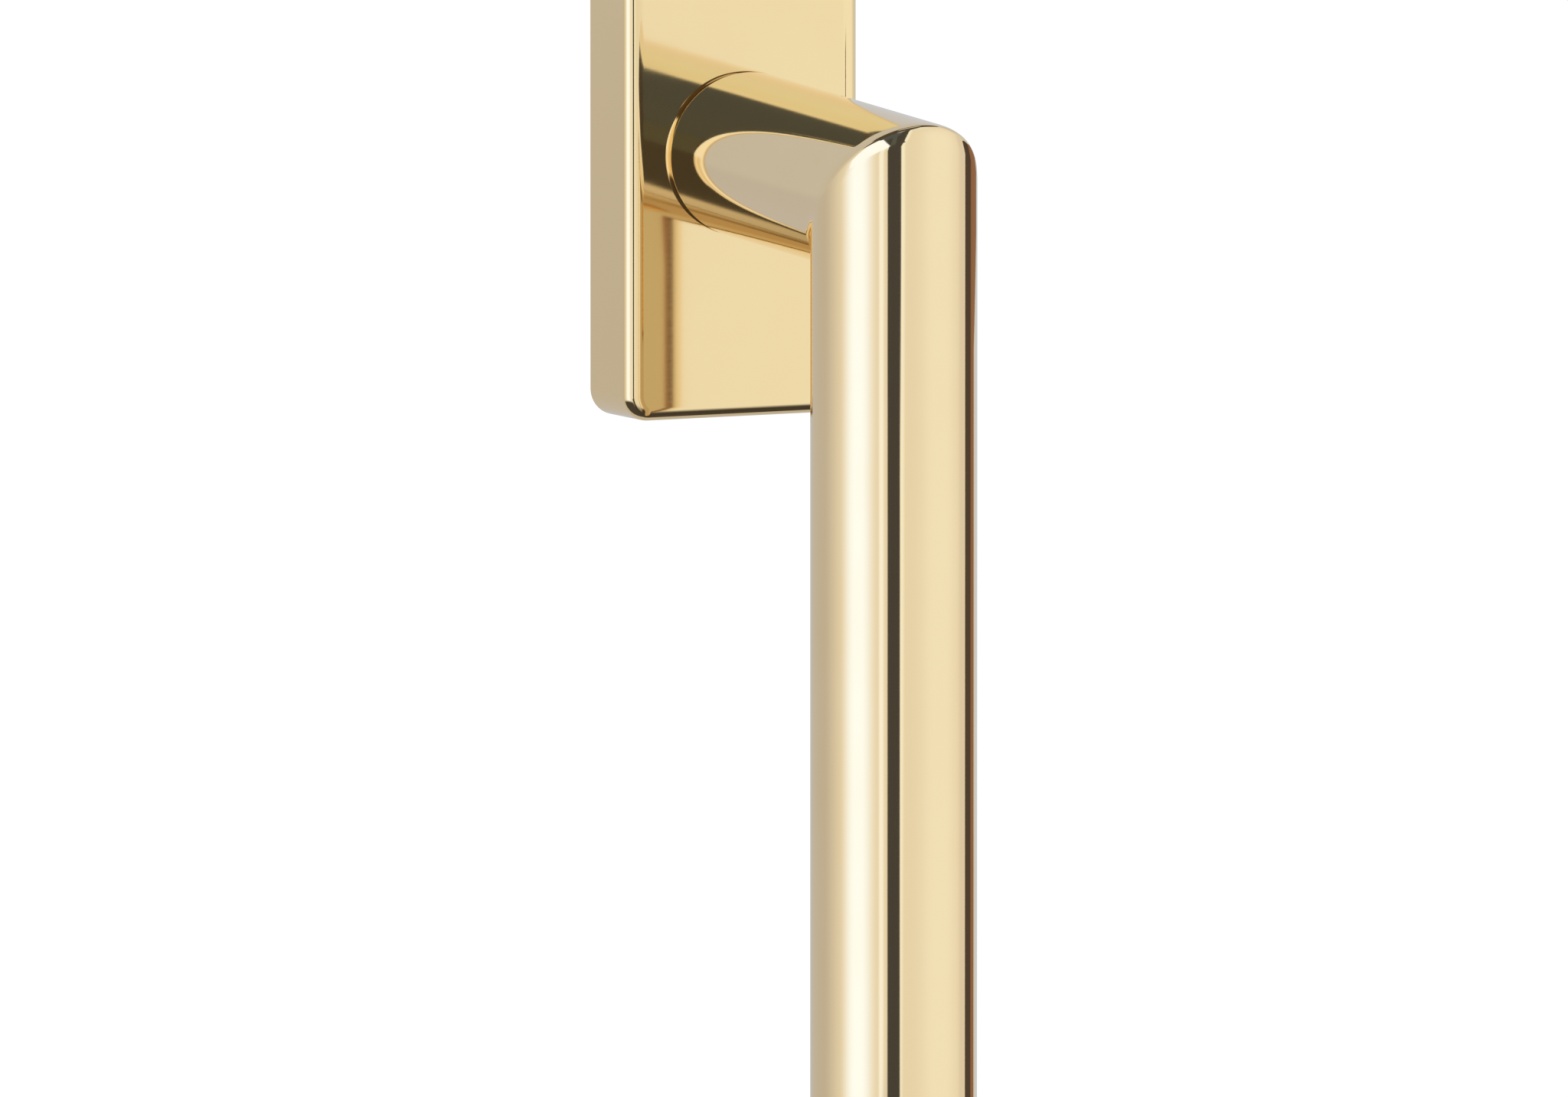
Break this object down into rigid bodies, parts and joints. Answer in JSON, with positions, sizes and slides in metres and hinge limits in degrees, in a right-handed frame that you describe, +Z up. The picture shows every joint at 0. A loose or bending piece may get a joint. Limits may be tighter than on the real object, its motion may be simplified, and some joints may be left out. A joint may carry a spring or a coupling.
{
  "type": "window handle",
  "caption": "Window handle with a rectangular rose, a round neck and a round grip that hangs from a mitred corner, for a tilt and turn sash.",
  "frame": {"origin": "the spindle axis where it crosses the sash face, the plane on which the rose sits", "axes": "+Z up along the rose, with the grip hanging along -Z; +Y into the sash along the spindle, so the front looks along -Y; +X to the right seen from the front"},
  "size_m": [0.0304, 0.0996, 0.1574],
  "materials": {
    "polished_brass": "mirror polished brass",
    "die_cast_zinc": "as cast, grey",
    "zinc_plated_steel": "bright zinc plated",
    "turned_steel": "turned and drawn steel",
    "spring_steel": "tempered spring steel",
    "nylon": "black moulded nylon",
    "black_steel": "black oxide"
  },
  "bodies": {
    "base": {"rose_cover": "polished_brass", "base_plate": "die_cast_zinc", "back_plate": "zinc_plated_steel", "back_plate_rivets": "zinc_plated_steel", "fixing_screws": "zinc_plated_steel", "cover_clip_upper": "spring_steel", "cover_clip_lower": "spring_steel", "nose_bush": "nylon", "slide_ring": "nylon", "thrust_washer": "nylon", "wave_washer": "spring_steel", "detent_spring_left": "spring_steel", "detent_spring_right": "spring_steel"},
    "handle": {"neck": "polished_brass", "grip": "polished_brass", "end_plug": "polished_brass", "grub_screw": "black_steel", "hub": "turned_steel", "spindle": "turned_steel", "spindle_pin": "turned_steel"}
  },
  "joints": [
    {"name": "handle_turn", "type": "hinge", "parent": "base", "child": "handle", "pos_m": [0, 0, 0], "axis": [0, 1, 0], "continuous": true, "deforming": ["detent_spring_left", "detent_spring_right"]}
  ]
}
